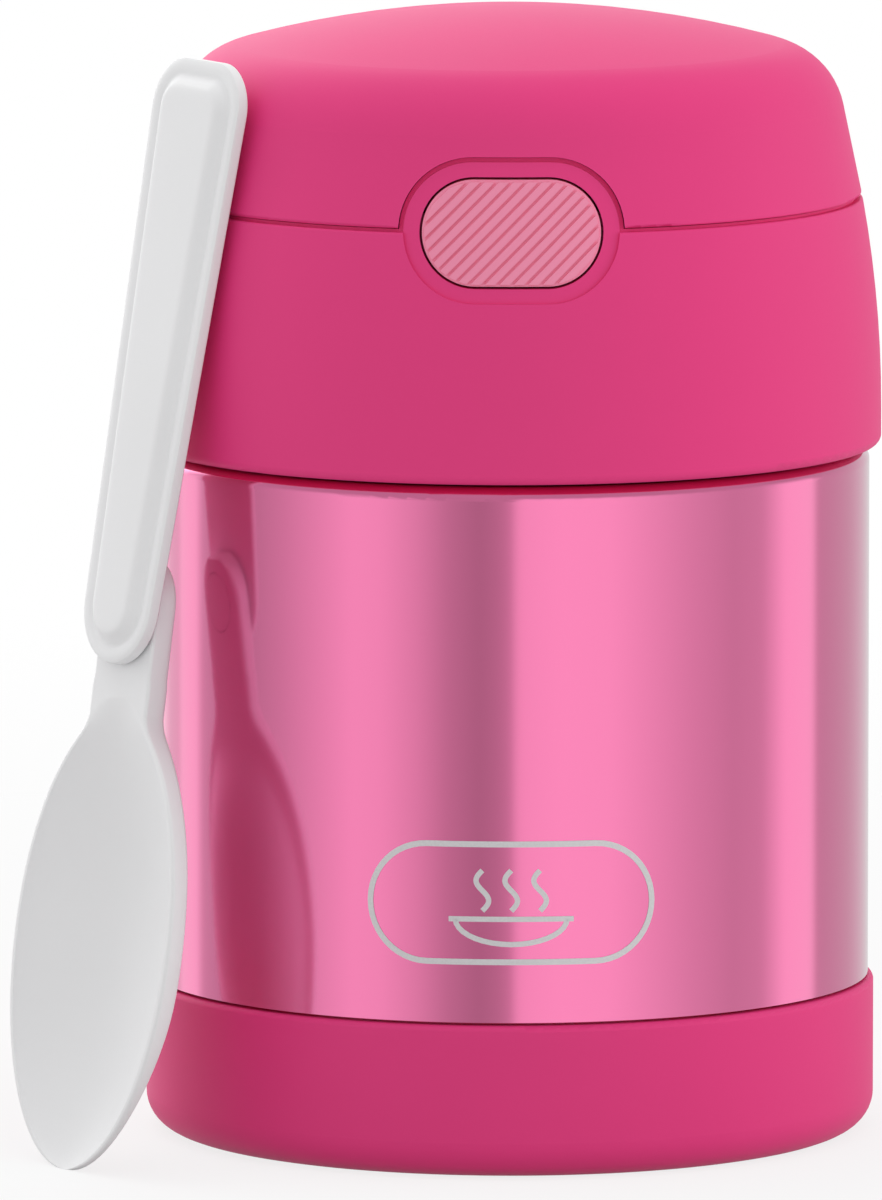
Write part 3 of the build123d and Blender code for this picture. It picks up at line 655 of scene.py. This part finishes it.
def spoon_handle(spoon):
    """Handle: flat back, flange with a broken edge, and a panel that swells up softly."""
    mesh = bmesh.new()
    bridge(mesh, [handle_ring(spoon, *step) for step in HANDLE_PROFILE])
    piece("spoon_handle_shape", mesh, "handle", "white_plastic", HANDLE_SHARP, replaces="spoon_handle")


def bowl_half_width(spoon, y):
    """Half width of the bowl and neck at a place along the spoon."""
    oval = BOWL_W / 2 * math.sqrt(max(0.0, 1 - ((y - BOWL_MIDDLE) / BOWL_MIDDLE) ** 2))
    beyond = max(0.0, y - spoon.pivot_y)
    neck = math.sqrt(max(0.0, NECK_HALF ** 2 - beyond ** 2))
    softness = BLEND_LEAST + (NECK_BLEND if y < BOWL_L * BLEND_END else 0.0)
    grown = ease(BOWL_MIDDLE, BOWL_MIDDLE * NECK_GROWN, y)
    return oval + (smooth_max(oval, neck, softness) - oval) * grown


def hollow_line(inner, y):
    """Points of the hollow from lip to lip."""
    to_neck = y > BOWL_MIDDLE
    points = []
    for i in range(-HOLLOW_STEPS, HOLLOW_STEPS + 1):
        across = math.sin(QUARTER * i / HOLLOW_STEPS)
        end = HOLLOW_END - HOLLOW_ARCH * across * across if to_neck else BOWL_L
        share = (y - BOWL_MIDDLE) / (end - BOWL_MIDDLE)
        depth = BOWL_HOLLOW * max(0.0, 1 - share * share) ** (RISE_TO_NECK if to_neck else RISE_TO_TIP)
        points.append((inner * across, -depth * (1 - across * across) ** RISE_ACROSS))
    return points


def lip_line(inner, half, edge):
    """Points over the lip beside the hollow and round its outer edge."""
    flat = half - edge
    lip = [(inner + (flat - inner) * share, 0) for share in LIP_PLACES]
    return lip + [(flat + edge * math.sin(a), edge * (math.cos(a) - 1)) for a in LIP_ANGLES]


def back_line(half, edge, y):
    """Points of the back from side to side: round on the bowl, and flat on the neck."""
    flat = ease(BOWL_MIDDLE * NECK_FLAT_FROM, BOWL_L, y)
    grown = ease(0, BOWL_MIDDLE * SIDE_GROWN, y)
    side = BOWL_SIDE * (SIDE_AT_TIP + (1 - SIDE_AT_TIP) * grown)
    points = []
    for i in range(1, BACK_STEPS):
        angle = math.pi * i / BACK_STEPS
        cos, sin = math.cos(angle), math.sin(angle)
        bowl_x = half * squared(cos, BACK_SQUARE)
        fall = (bowl_x / (BOWL_W / 2)) ** 2 + ((y - BOWL_MIDDLE) / BOWL_MIDDLE) ** 2
        round_z = BOWL_FLARE - BOWL_BACK * math.sqrt(max(0.0, 1 - min(1.0, fall) * BOWL_SPREAD))
        bowl_z = min(-edge, round_z, -side * sin ** SIDE_SQUARE)
        neck_x = half * squared(cos, NECK_SQUARE)
        neck_z = -NECK_T * sin ** NECK_SQUARE
        points.append((bowl_x * (1 - flat) + neck_x * flat, bowl_z * (1 - flat) + neck_z * flat))
    return points


def bowl_section(spoon, y):
    """Closed section across the spoon: hollow, lip, back and the other lip."""
    half = bowl_half_width(spoon, y)
    lip = min(RIM_LIP, half * LIP_SHARE)
    edge = min(LIP_ROUND, lip / 2)
    right = lip_line(half - lip, half, edge)
    left = [(-x, z) for x, z in reversed(right)]
    points = hollow_line(half - lip, y) + right + back_line(half, edge, y) + left
    return [spoon.point(x, y, BOWL_RIM_Z + z) for x, z in points]


def bowl_places(spoon):
    """Where the sections lie along the spoon, closer together where its shape bends most."""
    tip = [BOWL_MIDDLE * (1 - math.cos(QUARTER * (i + TIP_START) / TIP_STEPS)) for i in range(TIP_STEPS)]
    to_arch = HOLLOW_END - BOWL_MIDDLE
    arch = [HOLLOW_END - to_arch * (1 - i / ARCH_STEPS) ** ARCH_CROWD for i in range(ARCH_STEPS)]
    to_pivot = spoon.pivot_y - HOLLOW_END
    neck = [HOLLOW_END + to_pivot * i / NECK_STEPS for i in range(NECK_STEPS + 1)]
    turns = [QUARTER * (i / END_STEPS) ** END_CROWD for i in range(1, END_STEPS)]
    end = [spoon.pivot_y + NECK_HALF - NECK_HALF * math.cos(turn) for turn in turns]
    return tip + arch + neck + end


def spoon_bowl(spoon):
    """Bowl and neck in one sweep of sections, with the recess of the rivet's head."""
    mesh = bmesh.new()
    bridge(mesh, [bowl_section(spoon, y) for y in bowl_places(spoon)])
    made = piece("spoon_bowl_shape", mesh, "spoon", "white_plastic", BOWL_SHARP, replaces="spoon_bowl")
    recess = bmesh.new()
    turns = [TAU * i / RECESS_STEPS for i in range(RECESS_STEPS)]
    ring = [(RIVET_HEAD_R * math.cos(turn), RIVET_HEAD_R * math.sin(turn)) for turn in turns]
    back_z = BOWL_RIM_Z - NECK_T
    heights = (back_z - RECESS_REACH, back_z + RIVET_HEAD_T)
    bridge(recess, [[spoon.point(x, spoon.pivot_y + y, z) for x, y in ring] for z in heights])
    cut(made, recess)


# ---------------------------------------------------------------- studio
def studio_world():
    """White for the camera, soft panels for reflections, and a soft fill for everything else."""
    world = bpy.data.worlds.new("studio")
    bpy.context.scene.world = world
    world.use_nodes = True
    nodes = Nodes(world.node_tree)
    direction = nodes.node("ShaderNodeTexCoord", output="Generated")
    east = nodes.node("ShaderNodeSeparateXYZ", None, {0: direction})
    north, height = east.output(1), east.output(2)

    # share of a whole turn round the jar, with the button's side at a half
    turn = east.math("ARCTAN2", north * -1.0) / TAU + 0.5
    panels = nodes.ramp(turn, *(((angle + 180) / 360, grey(light)) for angle, light in STUDIO))
    panels = nodes.mix(nodes.fade(height, CEILING_EDGE), panels, grey(CEILING))
    near = nodes.vector_math("DOT_PRODUCT", direction, GLOW_AT.normalized(), output=1)
    panels = nodes.mix(nodes.fade(near, GLOW_EDGE), panels, grey(GLOW))

    to_front = (1 - north) / 2
    fill = nodes.fade(to_front, FILL_TURN, grey(FILL_BACK), grey(FILL_FRONT))
    light = nodes.mix(nodes.ray("Glossy"), fill, panels)
    plain = nodes.ray("Camera").math("MAXIMUM", nodes.ray("Transmission"))
    background = nodes.tree.nodes["Background"]
    nodes.feed(background.inputs["Color"], nodes.mix(plain, light, WHITE))


def lamp(name, place, size, power):
    """Large soft area lamp aimed at the middle of the jar."""
    data = bpy.data.lights.new(name, "AREA")
    data.size = size
    data.energy = power
    made = show(name, data)
    made.location = place
    made.rotation_euler = (CAMERA_AIM - made.location).to_track_quat("-Z", "Y").to_euler()
    made.visible_glossy = False


def pale_floor():
    """Finish that fades to white; reflections look through it, so that the steel shows the studio."""
    finish = Finish("pale_floor", {"Roughness": 0.9, "Specular IOR Level": 0.0, "Emission Strength": 1.0})
    camera_ray = finish.ray("Camera")
    white = finish.mix(camera_ray, grey(FLOOR_WHITE), grey(FLOOR_SEEN))
    finish.set({
        "Base Color": finish.mix(finish.noise(scale=30) * FLOOR_MOTTLE, white, BLACK),
        "Emission Color": finish.mix(camera_ray, BLACK, grey(FLOOR_GLOW)),
    })
    clear = finish.node("ShaderNodeBsdfTransparent")
    distance = finish.vector_math("LENGTH", finish.place(), output=1)
    far = finish.node("ShaderNodeMapRange", {"interpolation_type": "SMOOTHSTEP"}, {
        "Value": distance, "From Min": FLOOR_FADE[0], "From Max": FLOOR_FADE[1],
    })
    surface = Value(finish, finish.shader.outputs[0])
    hidden = finish.ray("Glossy").math("MAXIMUM", far)
    shown = finish.node("ShaderNodeMixShader", None, {0: hidden, 1: surface, 2: clear})
    finish.feed(finish.tree.nodes["Material Output"].inputs["Surface"], shown)
    return finish.material


def studio_floor():
    mesh = bmesh.new()
    bmesh.ops.create_circle(mesh, cap_ends=True, segments=FLOOR_STEPS, radius=FLOOR_FADE[1])
    floor = show("floor", to_data("floor", mesh))
    floor.data.materials.append(pale_floor())


def camera():
    data = bpy.data.cameras.new("camera")
    data.lens = CAMERA_LENS
    data.sensor_width = CAMERA_SENSOR
    data.clip_end = CAMERA_REACH
    made = show("camera", data)
    up = math.radians(CAMERA_ELEVATION)
    made.location = CAMERA_AIM + Vector((0, -math.cos(up), math.sin(up))) * CAMERA_DISTANCE
    made.rotation_euler = (QUARTER - up, 0, 0)
    bpy.context.scene.camera = made


# ---------------------------------------------------------------- all together
finish_nodes()
threads()
printed_mark()
spoon_shape = Spoon()
spoon_handle(spoon_shape)
spoon_bowl(spoon_shape)
studio_world()
studio_floor()
for settings in LAMPS:
    lamp(*settings)
camera()
bpy.context.scene.view_settings.view_transform = "Standard"
